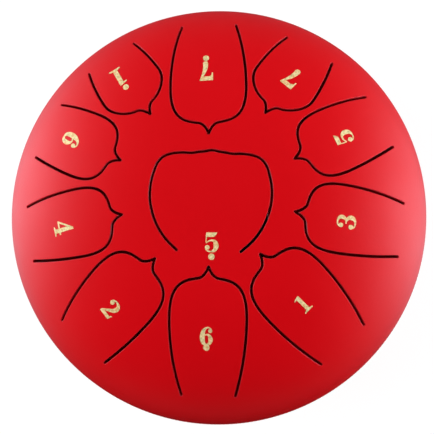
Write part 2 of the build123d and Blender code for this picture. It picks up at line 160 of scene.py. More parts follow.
class Soup:
    """Faces given by their corners, with the wanted normal and edge value at each corner."""

    def __init__(self):
        self.parts = []

    def add(self, corners, normals, edge=None):
        """corners and normals: (faces, corners of a face, 3). Each face is turned to its normals."""
        corners = np.array(corners, float)
        normals = np.broadcast_to(np.array(normals, float), corners.shape).copy()
        if edge is None:
            edge = np.zeros(corners.shape[:2])
        edge = np.broadcast_to(edge, corners.shape[:2]).copy()
        first = corners[:, 2] - corners[:, 0]
        second = corners[:, -1] - corners[:, 1]
        facing = (np.cross(first, second) * normals.sum(axis=1)).sum(axis=1)
        back = facing < 0
        corners[back] = corners[back][:, ::-1]
        normals[back] = normals[back][:, ::-1]
        edge[back] = edge[back][:, ::-1]
        self.parts.append((corners, normals, edge))

    def band(self, low, high, low_normals, high_normals, closed=False, edge=(0.0, 0.0)):
        """Quads between two equally long lines of points."""
        if closed:
            low, high, low_normals, high_normals = (
                np.vstack([rows, rows[:1]]) for rows in (low, high, low_normals, high_normals)
            )
        corners = np.stack([low[:-1], low[1:], high[1:], high[:-1]], axis=1)
        normals = np.stack([low_normals[:-1], low_normals[1:], high_normals[1:], high_normals[:-1]], axis=1)
        self.add(corners, normals, np.array([edge[0], edge[0], edge[1], edge[1]]))

    def object(self, name, material):
        """One mesh object with its vertices merged and its normals set."""
        points = np.vstack([corners.reshape(-1, 3) for corners, _, _ in self.parts])
        normals = np.vstack([part.reshape(-1, 3) for _, part, _ in self.parts])
        edge = np.concatenate([part.reshape(-1) for _, _, part in self.parts])
        _, kept, index = np.unique(
            np.round(points, DECIMALS), axis=0, return_index=True, return_inverse=True)
        index = index.reshape(-1)
        faces = []
        corner_rows = []
        start = 0
        for corners, _, _ in self.parts:
            count, size = corners.shape[:2]
            for face in range(count):
                rows = range(start + face * size, start + (face + 1) * size)
                ring = []
                used = []
                for row in rows:
                    vertex = int(index[row])
                    if vertex not in ring:
                        ring.append(vertex)
                        used.append(row)
                if len(ring) > 2:
                    faces.append(ring)
                    corner_rows.extend(used)
            start += count * size
        mesh = bpy.data.meshes.new(name)
        mesh.from_pydata((points[kept] * MM).tolist(), [], faces)
        mesh.polygons.foreach_set("use_smooth", [True] * len(faces))
        lengths = np.linalg.norm(normals, axis=1, keepdims=True)
        mesh.normals_split_custom_set((normals / np.maximum(lengths, 1e-9))[corner_rows].tolist())
        # Edge value of each point, which the enamel paints as thinner paint and a painted reflection.
        edge_wear_and_sheen = np.zeros(len(kept))
        np.maximum.at(edge_wear_and_sheen, index, edge)
        mesh.attributes.new("edge", "FLOAT", "POINT").data.foreach_set("value", edge_wear_and_sheen)
        mesh.materials.append(material)
        piece = bpy.data.objects.new(name, mesh)
        bpy.context.scene.collection.objects.link(piece)
        return piece


def inside(points, polygon):
    """Which of the points lie inside a closed polygon."""
    x, y = points[:, 0], points[:, 1]
    result = np.zeros(len(points), bool)
    for (x0, y0), (x1, y1) in zip(polygon, np.roll(polygon, -1, axis=0)):
        if y0 == y1:
            continue
        crosses = (y0 > y) != (y1 > y)
        result ^= crosses & (x < (x1 - x0) * (y - y0) / (y1 - y0) + x0)
    return result


def far_from(points, others, distance):
    """Which of the points are at least this far from all the others."""
    tree = KDTree(len(others))
    for index, (x, y) in enumerate(others):
        tree.insert((x, y, 0.0), index)
    tree.balance()
    return np.array([tree.find((x, y, 0.0))[2] >= distance for x, y in points], bool)


def grid(low, high):
    """Points of an even triangular grid over a box."""
    row_step = GRID * math.sqrt(0.75)
    rows = []
    for row, y in enumerate(np.arange(low[1], high[1], row_step)):
        x = np.arange(low[0] + GRID / 2 * (row % 2), high[0], GRID)
        rows.append(np.column_stack([x, np.full(len(x), y)]))
    return np.vstack(rows)


def triangulate(lines, loose, keep):
    """Triangles over lines of points and loose points. A line is (points, closed).

    Returns all points and the triangles whose middle keep() accepts.
    """
    points = np.vstack([line for line, _ in lines] + [loose])
    edges = []
    start = 0
    for line, closed in lines:
        count = len(line)
        edges += [(start + step, start + step + 1) for step in range(count - 1)]
        if closed:
            edges.append((start + count - 1, start))
        start += count
    _, _, triangles, sources, _, _ = delaunay_2d_cdt(points.tolist(), edges, [], 0, MERGE)
    found = points[[source[0] for source in sources]]
    triangles = np.array(triangles)
    return found, triangles[keep(found[triangles].mean(axis=1))]


# ---------------------------------------------------------------- the dome as a sheet

def dome_section(samples=4000):
    """Arc length, radius, height and slope along the outside of the dome."""
    share = np.linspace(0.0, 1.0, samples + 1)
    rest = 1 - share
    radius = RADIUS * (3 * DOME_HANDLE * rest ** 2 * share + 3 * rest * share ** 2 + share ** 3)
    height = DOME_Z + DOME_RISE * (
        rest ** 3 + 3 * rest ** 2 * share + 3 * DOME_HANDLE * rest * share ** 2)
    length = np.concatenate([[0.0], np.cumsum(np.hypot(np.diff(radius), np.diff(height)))])
    slope = np.arctan2(-np.gradient(height, length), np.gradient(radius, length))
    slope[0] = 0.0
    slope[-1] = math.pi / 2
    return length, radius, height, slope


ARC, ARC_RADIUS, ARC_HEIGHT, ARC_SLOPE = dome_section()
RIM_ARC = ARC[-1]


def unrolled(plan):
    """Points seen from above, moved outward so that distances from the middle are arc lengths."""
    plan = np.asarray(plan, float)
    radius = np.hypot(plan[:, 0], plan[:, 1])
    arc = np.interp(radius, ARC_RADIUS, ARC)
    return plan * np.where(radius > 1e-6, arc / np.maximum(radius, 1e-6), 1.0)[:, None]


def on_dome(flat, depth=0.0):
    """Places of unrolled points on the dome, this far below its outside, and the normals there."""
    arc = np.hypot(flat[:, 0], flat[:, 1])
    radius = np.interp(arc, ARC, ARC_RADIUS)
    slope = np.interp(arc, ARC, ARC_SLOPE)
    way = flat / np.maximum(arc, 1e-6)[:, None]
    normal = np.column_stack([way * np.sin(slope)[:, None], np.cos(slope)])
    place = np.column_stack([way * radius[:, None], np.interp(arc, ARC, ARC_HEIGHT)])
    return place - normal * np.broadcast_to(depth, len(flat))[:, None], normal


def along_dome(flat, direction):
    """Directions on the dome of directions in the unrolled sheet."""
    arc = np.maximum(np.hypot(flat[:, 0], flat[:, 1]), 1e-6)
    way = flat / arc[:, None]
    slope = np.interp(arc, ARC, ARC_SLOPE)
    outward = (direction * way).sum(axis=1)
    around = direction[:, 1] * way[:, 0] - direction[:, 0] * way[:, 1]
    flat_part = way * (outward * np.cos(slope))[:, None]
    flat_part += np.column_stack([-way[:, 1], way[:, 0]]) * around[:, None]
    return np.column_stack([flat_part, -outward * np.sin(slope)])


# ---------------------------------------------------------------- tongue outlines

def bezier(handles, steps):
    """Points of a cubic curve with these four handles, without its end."""
    share = np.arange(steps)[:, None] / steps
    rest = 1 - share
    a, b, c, d = (np.array(handle) for handle in handles)
    return rest ** 3 * a + 3 * rest ** 2 * share * b + 3 * rest * share ** 2 * c + share ** 3 * d


def smooth(nodes, steps):
    """Catmull-Rom points through nodes, mirrored at the start so that it crosses the axis square."""
    nodes = np.array(nodes)
    before = nodes[1] * (1, -1)
    padded = np.vstack([before, nodes, nodes[-1]])
    points = []
    for a, b, c, d in zip(padded, padded[1:], padded[2:], padded[3:]):
        for share in np.arange(steps) / steps:
            points.append(
                b + (c - a) * share / 2 + (2 * a - 5 * b + 4 * c - d) * share ** 2 / 2
                + (3 * b - a - 3 * c + d) * share ** 3 / 2)
    points.append(nodes[-1])
    return np.array(points)


def outer_edge(length, pattern):
    """Half of an outer tongue's slit line, from its point to its root."""
    half_width, widest, taper, lip_handle, side_handle = pattern
    before, lip_end = np.array(TIP_LIP[2]), np.array(TIP_LIP[3])
    way = (lip_end - before) / np.linalg.norm(lip_end - before)
    shoulder = (lip_end, lip_end + lip_handle * way, (widest - side_handle, half_width), (widest, half_width))
    along = np.linspace(widest, length, int((length - widest) / SIDE_SPACING) + 2)
    side = np.column_stack([along, half_width - taper * (along - widest) ** 2])
    return np.vstack([bezier(TIP_LIP, LIP_CURVE_STEPS), bezier(shoulder, SHOULDER_STEPS), side])


def directions(path, square_start):
    """Unit direction at each point of a path."""
    steps = np.gradient(path, axis=0)
    if square_start:
        steps[0] = (0.0, 1.0)
    return steps / np.linalg.norm(steps, axis=1, keepdims=True)


def moved(path, distance, square_start):
    """A half outline moved away from the axis, and brought back to start on the axis."""
    way = directions(path, square_start)
    result = path + np.column_stack([-way[:, 1], way[:, 0]]) * distance
    if square_start:
        return result
    below = np.nonzero(result[:, 1] <= 0)[0]
    start = below[-1] if len(below) else 0
    first, second = result[start], result[start + 1]
    on_axis = first + (second - first) * first[1] / (first[1] - second[1])
    on_axis[1] = 0.0
    return np.vstack([on_axis, result[start + 1:] if len(below) else result])


def mirrored(path):
    """A half outline and its mirror image as one line, from one slit end to the other."""
    return np.vstack([path[:0:-1], path * (1, -1)])


def turned_to(flat, angle):
    """Points turned about the middle of the drum."""
    cos, sin = math.cos(angle), math.sin(angle)
    return flat @ np.array([[cos, sin], [-sin, cos]])


def cut_plan(name):
    """One tongue's slit line in its own frame, tip first: (path, tip place, direction, root, square)."""
    if name == "low_5":
        root = CROWN_EDGE[-1][0] + CROWN_ROOT_BULGE
        return smooth(CROWN_EDGE, CROWN_STEPS), -CROWN_RADIUS, CROWN_DIRECTION, root, True
    length, direction, pattern = OUTER_TONGUES[name]
    path = outer_edge(length, pattern)
    tip = math.sqrt(SLIT_END_RADIUS ** 2 - path[-1, 1] ** 2) - length
    return path, tip, direction, SLIT_END_RADIUS - tip, False


def arc_through(start, middle_x, steps):
    """Half a circle arc from start to its crossing of the x axis at middle_x."""
    half = start[1]
    rise = middle_x - start[0]
    radius = (half ** 2 + rise ** 2) / (2 * rise)
    angle = math.asin(half / abs(radius))
    turn = np.linspace(angle, 0.0, steps + 1)
    centre = middle_x - radius
    return np.column_stack([centre + radius * np.cos(turn), abs(radius) * np.sin(turn)])


class Cut:
    """Outlines of one slit in the unrolled sheet: the tongue's side and the shell's side."""

    def __init__(self, name):
        path, tip, direction, root, square = cut_plan(name)
        self.angle = math.radians(direction)
        self.square = square
        half = SLIT / 2
        shift = np.array([tip, 0.0])
        way = directions(path, square)[-1]
        side = np.array([-way[1], way[0]])
        self.root_end = path[-1] - side * half
        turn = np.linspace(0.0, math.pi, SLIT_END_STEPS + 1)[1:]
        round_end = path[-1] + half * (np.outer(np.cos(turn), side) + np.outer(np.sin(turn), way))
        opening = np.vstack([moved(path, half, square), round_end])
        if not square:
            opening = np.vstack([self.round_tip(path, half), opening[1:]])
        self.tongue = unrolled(moved(path, -half, square) + shift)
        self.opening = unrolled(opening + shift)
        self.tongue[0, 1] = self.opening[0, 1] = 0.0
        inset = directions(self.tongue, square)[-1]
        inset = np.array([inset[1], -inset[0]])
        self.rounding = self.steps()
        self.border = [self.tongue[-1] + inset * distance for distance, _, _ in self.rounding]
        self.border[0] = self.tongue[-1]
        far = unrolled(np.array([[root + tip, 0.0]]))[0, 0]
        chord = 2 * self.border[-1][1]
        self.root_line = arc_through(self.border[-1], far, max(4, round(chord / ROOT_SPACING)))
        self.root_middle = far

    @staticmethod
    def round_tip(path, half):
        """The slit's outer edge about its point, where the round cutting beam turned back."""
        way = directions(path, False)[0]
        start = math.atan2(way[0], -way[1])
        turn = np.linspace(math.pi, start, TIP_STEPS + 1)[:-1]
        return path[0] + half * np.column_stack([np.cos(turn), np.sin(turn)])

    @staticmethod
    def steps():
        """Distance from the wall, depth below the surface and lean of the rounded edge's loops."""
        loops = []
        for step in range(EDGE_STEPS + 1):
            lean = math.pi / 2 * step / EDGE_STEPS
            loops.append((EDGE_ROUND * (1 - math.cos(lean)), EDGE_ROUND * (1 - math.sin(lean)), lean))
        loops.append((EDGE_FRAME, 0.0, math.pi / 2))
        return loops

    def loops(self, path, side):
        """The path and its neighbours at each rounding step, on this side of it."""
        result = []
        for (distance, depth, lean), end in zip(self.rounding, self.border):
            if distance == 0.0:
                line = path.copy()
            else:
                line = moved(path, side * distance, self.square)
                crowded = ~far_from(line, dense(path), CROWDED * distance)
                crowded[0] = crowded[-1] = False
                line = line[~crowded]
            line[-1] = end
            line[0, 1] = 0.0
            outward = directions(line, self.square)
            outward = np.column_stack([outward[:, 1], -outward[:, 0]]) * side
            if not self.square:
                outward[0] = (side, 0.0) if side < 0 else (1.0, 0.0)
            result.append((line, outward, depth, lean))
        return result


def dense(path):
    """A path with nine points added between neighbours."""
    share = np.arange(10)[None, :, None] / 10
    filled = path[:-1, None] + (path[1:, None] - path[:-1, None]) * share
    return np.vstack([filled.reshape(-1, 2), path[-1:]])


def sheet_faces(soup, flat, triangles, marks):
    """The outer and inner skin over triangles of the unrolled sheet.

    marks maps a point's rounded coordinates to its depth, its normal and its edge value.
    """
    outer, outer_normals = on_dome(flat)
    inner, _ = on_dome(flat, SHEET)
    inner_normals = -outer_normals
    edge = np.zeros(len(flat))
    for index, point in enumerate(np.round(flat, DECIMALS)):
        mark = marks.get(tuple(point))
        if mark is not None:
            depth, normal, edge[index] = mark
            outer[index] -= outer_normals[index] * depth
            outer_normals[index] = normal
    soup.add(outer[triangles], outer_normals[triangles], edge[triangles])
    soup.add(inner[triangles], inner_normals[triangles])


def rounded_cut(soup, cut, loops, marks):
    """The wall of one side of a slit, and the marks of its rounded edge. Returns its lines."""
    lines = []
    for number, (half, half_outward, depth, lean) in enumerate(loops):
        line = turned_to(mirrored(half), cut.angle)
        outward = turned_to(np.vstack([half_outward[:0:-1], half_outward * (1, -1)]), cut.angle)
        place, normal = on_dome(line, depth)
        wall = along_dome(line, outward)
        leaning = normal * math.sin(lean) + wall * math.cos(lean)
        # The wall and the rounded part of the edge get the edge value, which the enamel paints as thinner
        # paint and a painted reflection.
        edge_wear_and_sheen = 1.0 if depth > 0 else 0.0
        for point, value in zip(np.round(line, DECIMALS), leaning):
            marks[tuple(point)] = (depth, value, edge_wear_and_sheen)
        if number == 0:
            inner, _ = on_dome(line, SHEET)
            soup.band(place, inner, wall, wall, edge=(1.0, 1.0))
        lines.append(line)
    return lines


def root_border(cut):
    """The line that a tongue shares with the shell, from one side of it to the other."""
    half = np.vstack([np.array(cut.border[:-1]), cut.root_line])
    return turned_to(np.vstack([half[:-1], (half * (1, -1))[::-1]]), cut.angle)


def end_cap(soup, cut, marks, side):
    """The face of one piece on the root line, through the thickness of the sheet."""
    line = root_border(cut)
    depth = np.array([marks[tuple(point)][0] if tuple(point) in marks else 0.0
                      for point in np.round(line, DECIMALS)])
    outer, _ = on_dome(line, depth)
    inner, _ = on_dome(line, SHEET)
    outward = turned_to(np.array([[side, 0.0]]), cut.angle)
    facing = np.tile(along_dome(line.mean(axis=0)[None], outward), (len(line), 1))
    soup.band(outer, inner, facing, facing)


def tongue_piece(name, cut, material):
    """A tongue with a rounded edge along its slit."""
    soup = Soup()
    marks = {}
    lines = rounded_cut(soup, cut, cut.loops(cut.tongue, -1), marks)
    border = root_border(cut)
    end_cap(soup, cut, marks, 1.0)
    outline = np.vstack([lines[0], border[-2:0:-1]])
    inner_outline = np.vstack([lines[-1], border[-2:0:-1]])
    loose = grid(outline.min(axis=0), outline.max(axis=0))
    loose = loose[inside(loose, inner_outline)]
    loose = loose[far_from(loose, dense(inner_outline), GRID / 2)]
    flat, triangles = triangulate(
        [(line, False) for line in lines] + [(border, False)], loose,
        lambda middle: inside(middle, outline))
    sheet_faces(soup, flat, triangles, marks)
    return soup.object("red_tongue_" + name, material)


def rim_faces(soup, rings):
    """The dome's plain outer rings, the skirt, the weld bevel and the seam face."""
    angle = np.arange(AROUND) * 2 * math.pi / AROUND
    way = np.column_stack([np.cos(angle), np.sin(angle)])
    for low, high in zip(rings, rings[1:]):
        for depth, sign in ((0.0, 1), (SHEET, -1)):
            first, first_normal = on_dome(way * low, depth)
            second, second_normal = on_dome(way * high, depth)
            soup.band(first, second, sign * first_normal, sign * second_normal, closed=True)
    lathe_bands(soup, [
        [(RADIUS, DOME_Z, 1, 0), (RADIUS, SEAM_Z + BEVEL, 1, 0)],
        [(RADIUS, SEAM_Z + BEVEL, 1, -1), (RADIUS - BEVEL, SEAM_Z, 1, -1)],
        [(RADIUS - BEVEL, SEAM_Z, 0, -1), (RADIUS - SHEET, SEAM_Z, 0, -1)],
        [(RADIUS - SHEET, SEAM_Z, -1, 0), (RADIUS - SHEET, DOME_Z, -1, 0)],
    ], AROUND)


def top_shell(cuts, material):
    """The domed shell with its eleven openings."""
    soup = Soup()
    marks = {}
    lines = []
    outlines = []
    for cut in cuts.values():
        own = rounded_cut(soup, cut, cut.loops(cut.opening, 1), marks)
        border = root_border(cut)
        end_cap(soup, cut, marks, -1.0)
        outlines.append(np.vstack([own[0], border[-2:0:-1]]))
        lines += [(line, False) for line in own] + [(border, False)]
    join_arc = float(np.interp(JOIN_RADIUS, ARC_RADIUS, ARC))
    angle = np.arange(AROUND) * 2 * math.pi / AROUND
    join = np.column_stack([np.cos(angle), np.sin(angle)]) * join_arc
    loose = grid((-join_arc, -join_arc), (join_arc, join_arc))
    loose = loose[np.hypot(loose[:, 0], loose[:, 1]) < join_arc - GRID / 2]
    for outline in outlines:
        loose = loose[~inside(loose, outline)]
    loose = loose[far_from(loose, np.vstack([dense(line) for line, _ in lines]), GRID / 2)]

    def in_sheet(middle):
        """Which places lie on the sheet, inside the plain rings and outside the openings."""
        kept = np.hypot(middle[:, 0], middle[:, 1]) < join_arc
        for outline in outlines:
            kept &= ~inside(middle, outline)
        return kept

    flat, triangles = triangulate(lines + [(join, True)], loose, in_sheet)
    sheet_faces(soup, flat, triangles, marks)
    rim_faces(soup, np.linspace(join_arc, RIM_ARC, round((RIM_ARC - join_arc) / GRID) + 1))
    return soup.object("red_top_shell", material)


# ---------------------------------------------------------------- turned pieces

def lathe_bands(soup, sections, around, centre=(0.0, 0.0), edge=0.0):
    """Bands turned about a vertical axis. A section is a line of (radius, z, normal r, normal z)."""
    angle = np.arange(around) * 2 * math.pi / around
    cos, sin = np.cos(angle), np.sin(angle)

    def ring(radius, z, normal_r, normal_z):
        """Points and normals of one turned corner of a section."""
        place = np.column_stack([centre[0] + radius * cos, centre[1] + radius * sin, np.full(around, z)])
        return place, np.column_stack([normal_r * cos, normal_r * sin, np.full(around, normal_z)])

    for section in sections:
        for low, high in zip(section, section[1:]):
            low_place, low_normal = ring(*low)
            high_place, high_normal = ring(*high)
            soup.band(low_place, high_place, low_normal, high_normal, closed=True, edge=(edge, edge))


def corner(centre_r, centre_z, radius, start, end, steps, sign=1):
    """A rounded stretch of a section, with normals away from its centre (or towards it)."""
    section = []
    for angle in np.radians(np.linspace(start, end, steps + 1)):
        cos, sin = math.cos(angle), math.sin(angle)
        section.append((centre_r + radius * cos, centre_z + radius * sin, sign * cos, sign * sin))
    return section


def foot_places():
    """Middles of the three feet, seen from above."""
    return [(FOOT_CIRCLE * math.cos(a), FOOT_CIRCLE * math.sin(a)) for a in np.radians((90, 210, 330))]


def base_plate(soup, inner_radius, outer_radius):
    """The flat base between two circles, with the screw holes through it."""
    circles = []
    for radius in (inner_radius, outer_radius):
        angle = np.arange(AROUND) * 2 * math.pi / AROUND
        circles.append(np.column_stack([np.cos(angle), np.sin(angle)]) * radius)
    hole_turn = np.arange(HOLE_AROUND) * 2 * math.pi / HOLE_AROUND
    holes = [
        np.array(place) + SCREW_HOLE_RADIUS * np.column_stack([np.cos(hole_turn), np.sin(hole_turn)])
        for place in foot_places()
    ]
    loose = grid((-outer_radius, -outer_radius), (outer_radius, outer_radius))
    distance = np.hypot(loose[:, 0], loose[:, 1])
    loose = loose[(distance > inner_radius + GRID / 2) & (distance < outer_radius - GRID / 2)]
    loose = loose[far_from(loose, np.vstack(holes), GRID / 2)]

    def in_plate(middle):
        """Which places lie on the plate, outside its holes."""
        kept = np.ones(len(middle), bool)
        for hole in [circles[0], *holes]:
            kept &= ~inside(middle, hole)
        return kept

    flat, triangles = triangulate([(line, True) for line in circles + holes], loose, in_plate)
    for z, normal in ((BASE_Z, -1.0), (BASE_Z + SHEET, 1.0)):
        place = np.column_stack([flat, np.full(len(flat), z)])
        soup.add(place[triangles], (0.0, 0.0, normal))
    for place in foot_places():
        lathe_bands(soup, [[
            (SCREW_HOLE_RADIUS, BASE_Z, -1, 0), (SCREW_HOLE_RADIUS, BASE_Z + SHEET, -1, 0),
        ]], HOLE_AROUND, place)


def bottom_shell(material):
    """The lower shell with its lipped sound hole."""
    soup = Soup()
    knuckle_z = BASE_Z + KNUCKLE
    flat_radius = RADIUS - KNUCKLE
    lip_middle = SOUND_HOLE_RADIUS + LIP_RADIUS
    lip_z = BASE_Z + LIP_RADIUS
    lip_top = lip_z + LIP_WALL
    lip_round = SHEET / 2
    lip_crown = lip_top - lip_round
    outside = corner(flat_radius, knuckle_z, KNUCKLE, -90, 0, KNUCKLE_STEPS)
    outside.append((RADIUS, SEAM_Z - BEVEL, 1, 0))
    within = corner(flat_radius, knuckle_z, KNUCKLE - SHEET, -90, 0, KNUCKLE_STEPS, -1)
    within.append((RADIUS - SHEET, SEAM_Z, -1, 0))
    lip = corner(lip_middle, lip_z, LIP_RADIUS, 270, 180, LIP_STEPS)
    lip += corner(SOUND_HOLE_RADIUS + lip_round, lip_crown, lip_round, 180, 0, LIP_STEPS)
    lip += corner(lip_middle, lip_z, LIP_RADIUS - SHEET, 180, 270, 8, -1)
    lathe_bands(soup, [
        outside, within, lip,
        [(RADIUS, SEAM_Z - BEVEL, 1, 1), (RADIUS - BEVEL, SEAM_Z, 1, 1)],
        [(RADIUS - BEVEL, SEAM_Z, 0, 1), (RADIUS - SHEET, SEAM_Z, 0, 1)],
    ], AROUND)
    base_plate(soup, lip_middle, flat_radius)
    return soup.object("red_bottom_shell", material)


def rim_weld(material):
    """The bead, with the small even ripples of a weld run under paint."""
    soup = Soup()
    around = WELD_RIPPLES * 4
    angle = np.arange(around) * 2 * math.pi / around
    cap_rise = BEAD_RADIUS - RADIUS
    cap_radius = (BEVEL ** 2 + cap_rise ** 2) / (2 * cap_rise)
    reach = math.degrees(math.asin(BEVEL / cap_radius))
    cap = corner(BEAD_RADIUS - cap_radius, SEAM_Z, cap_radius, -reach, reach, 8)
    ripple = RIPPLE_DEPTH * (np.cos(WELD_RIPPLES * angle) - 1) / 2
    rows = []
    for radius, z, normal_r, normal_z in cap:
        height = max(0.0, (radius - RADIUS) / cap_rise)
        reach_out = radius + ripple * height
        place = np.column_stack([np.cos(angle) * reach_out, np.sin(angle) * reach_out, np.full(around, z)])
        steepest = RIPPLE_DEPTH * WELD_RIPPLES / 2 / RADIUS
        lean = height * steepest * np.sin(WELD_RIPPLES * angle)
        normal = np.column_stack([
            normal_r * np.cos(angle) - lean * np.sin(angle),
            normal_r * np.sin(angle) + lean * np.cos(angle), np.full(around, normal_z)])
        rows.append((place, normal))
    for (low, low_normal), (high, high_normal) in zip(rows, rows[1:]):
        soup.band(low, high, low_normal, high_normal, closed=True)
    lathe_bands(soup, [
        [(RADIUS, SEAM_Z - BEVEL, -1, -1), (RADIUS - BEVEL, SEAM_Z, -1, -1)],
        [(RADIUS - BEVEL, SEAM_Z, -1, 1), (RADIUS, SEAM_Z + BEVEL, -1, 1)],
    ], around)
    return soup.object("red_rim_weld", material)


def foot(number, place, material):
    """A moulded rubber foot: tapered, with rounded edges, two shallow grooves and a sunk seat."""
    soup = Soup()
    height = BASE_Z
    lean = math.atan2(FOOT_TOP_RADIUS - FOOT_BOTTOM_RADIUS, height)
    side_r, side_z = math.cos(lean), -math.sin(lean)
    bottom_round = 1.2
    bottom_inset = 0.95
    top_round = 0.5
    top_inset = top_round + 0.1
    recess_round = 0.5
    groove_round = 0.35
    bottom_end = 270 + 90 - math.degrees(lean)
    section = [(FOOT_RECESS_RADIUS + recess_round, 0.0, 0, -1)]
    section += corner(FOOT_BOTTOM_RADIUS - bottom_inset, bottom_round, bottom_round, 270, bottom_end, 8)
    for z in FOOT_GROOVES:
        wall = FOOT_BOTTOM_RADIUS + z * math.tan(lean)
        for step in np.linspace(-1, 1, 7):
            dip = groove_round * math.cos(step * math.pi / 2) ** 2
            tilt = math.sin(step * math.pi) * groove_round * math.pi / 2
            up = step * GROOVE_REACH
            section.append((wall + up * math.tan(lean) - dip, z + up, side_r, side_z - tilt))
    section += corner(FOOT_TOP_RADIUS - top_inset, height - top_round, top_round,
                      -math.degrees(lean), 90, 5)
    section.append((FOOT_HOLE_RADIUS, height, 0, 1))
    recess = corner(FOOT_RECESS_RADIUS + recess_round, recess_round, recess_round, 270, 180, 4)
    recess.append((FOOT_RECESS_RADIUS, FOOT_RECESS_DEPTH, -1, 0))
    lathe_bands(soup, [
        section, recess,
        [(FOOT_RECESS_RADIUS, FOOT_RECESS_DEPTH, 0, -1), (FOOT_HOLE_RADIUS, FOOT_RECESS_DEPTH, 0, -1)],
        [(FOOT_HOLE_RADIUS, FOOT_RECESS_DEPTH, -1, 0), (FOOT_HOLE_RADIUS, height, -1, 0)],
    ], FOOT_AROUND, place)
    return soup.object(f"rubber_foot_{number}", material)


# ---------------------------------------------------------------- materials

class Nodes:
    """A node material under construction."""

    def __init__(self, name):
        self.material = bpy.data.materials.new(name)
        self.material.use_nodes = True
        self.tree = self.material.node_tree
        self.shader = self.tree.nodes["Principled BSDF"]
        self.place = self.new("ShaderNodeTexCoord").outputs["Object"]

    def new(self, kind, **settings):
        """A new node of this kind."""
        node = self.tree.nodes.new(kind)
        for key, value in settings.items():
            setattr(node, key, value)
        return node

    def link(self, output, target):
        """Joins an output to an input."""
        self.tree.links.new(output, target)

    def put(self, target, value):
        """Sets an input to a number, a colour or another node's output."""
        if isinstance(value, bpy.types.NodeSocket):
            self.link(value, target)
        elif isinstance(value, tuple) and len(value) == 3:
            target.default_value = (*value, 1.0)
        else:
            target.default_value = value

    def noise(self, scale, detail=2.0, roughness=0.5):
        """Noise in the space of the object, from 0 to 1 about 0.5; scale is per metre."""
        node = self.new("ShaderNodeTexNoise")
        self.link(self.place, node.inputs["Vector"])
        node.inputs["Scale"].default_value = scale
        node.inputs["Detail"].default_value = detail
        node.inputs["Roughness"].default_value = roughness
        return node.outputs["Fac"]

    def spread(self, value, low, high, to_low=0.0, to_high=1.0):
        """A value between low and high, carried over to the range to_low to to_high."""
        node = self.new("ShaderNodeMapRange")
        self.put(node.inputs["Value"], value)
        for key, number in zip(("From Min", "From Max", "To Min", "To Max"), (low, high, to_low, to_high)):
            node.inputs[key].default_value = number
        return node.outputs["Result"]

    def mix(self, factor, first, second):
        """A colour between two others: the first at 0, the second at 1."""
        node = self.new("ShaderNodeMix", data_type="RGBA")
        self.put(node.inputs[0], factor)
        self.put(node.inputs[6], first)
        self.put(node.inputs[7], second)
        return node.outputs[2]

    def times(self, first, second):
        """The product of two values."""
        node = self.new("ShaderNodeMath", operation="MULTIPLY")
        self.put(node.inputs[0], first)
        self.put(node.inputs[1], second)
        return node.outputs[0]

    def attribute(self, name):
        """A value stored in the mesh."""
        return self.new("ShaderNodeAttribute", attribute_name=name).outputs["Fac"]

    def bump(self, height, strength, distance, below=None):
        """A normal bent by a height, on top of the bump below it."""
        node = self.new("ShaderNodeBump")
        self.put(node.inputs["Height"], height)
        node.inputs["Strength"].default_value = strength
        node.inputs["Distance"].default_value = distance
        if below is not None:
            self.link(below, node.inputs["Normal"])
        return node.outputs["Normal"]

    def finish(self, **values):
        """Fills inputs of the shader, named with _ for a space, and returns the material."""
        for key, value in values.items():
            self.put(self.shader.inputs[key.replace("_", " ")], value)
        return self.material


def enamel(name, red, deep_red):
    """Satin baked enamel: slow shifts of colour, fine orange peel, and on the slit edges a greyish tone that
    is partly thinner paint, partly a painted reflection.
    """
    nodes = Nodes(name)
    drift = nodes.spread(nodes.noise(9.0, 3.0), 0.35, 0.65)
    colour = nodes.mix(drift, red, deep_red)
    # Partly thinner paint, partly painted reflection: the slit walls and rounded edges turn a greyish
    # lavender.
    thin_paint_and_sheen = nodes.times(nodes.attribute("edge"), nodes.spread(nodes.noise(220.0), 0.3, 0.7, 0.25, 0.6))
    colour = nodes.mix(thin_paint_and_sheen, colour, (0.50, 0.045, 0.06))
    peel = nodes.bump(nodes.noise(650.0, 1.0), 0.10, 0.0004)
    grain = nodes.bump(nodes.noise(3200.0, 2.0), 0.06, 0.0001, peel)
    return nodes.finish(
        Base_Color=colour, Roughness=nodes.spread(nodes.noise(30.0, 4.0), 0.3, 0.7, 0.35, 0.41),
        Normal=grain)


def gold_foil():
    """Pale gold foil with faint green and rose patches, patches of painted highlight and a brushed grain."""
    nodes = Nodes("gold_foil")
    patches = nodes.spread(nodes.noise(420.0, 2.0), 0.38, 0.62)
    colour = nodes.mix(patches, (0.80, 0.44, 0.17), (0.56, 0.50, 0.23))
    # Painted highlight: bright pale gold patches stand in for the foil's reflections.
    painted_highlight = nodes.spread(nodes.noise(700.0, 3.0), 0.35, 0.65, 0.0, 0.9)
    colour = nodes.mix(painted_highlight, colour, (0.98, 0.83, 0.45))
    grain = nodes.bump(nodes.noise(2600.0, 3.0), 0.25, 0.0002)
    return nodes.finish(
        Base_Color=colour, Metallic=0.1, Normal=grain,
        Roughness=nodes.spread(nodes.noise(700.0), 0.3, 0.7, 0.34, 0.52))


def rubber():
    """Matt black moulded rubber with a fine spark-eroded grain and a little dust."""
    nodes = Nodes("rubber")
    dust = nodes.spread(nodes.noise(260.0, 5.0), 0.52, 0.78, 0.0, 0.5)
    colour = nodes.mix(dust, (0.016, 0.016, 0.017), (0.060, 0.058, 0.055))
    grain = nodes.bump(nodes.noise(4200.0, 3.0), 0.45, 0.0002)
    return nodes.finish(
        Base_Color=colour, Normal=grain, Specular_IOR_Level=0.4,
        Roughness=nodes.spread(nodes.noise(120.0, 3.0), 0.3, 0.7, 0.6, 0.78))


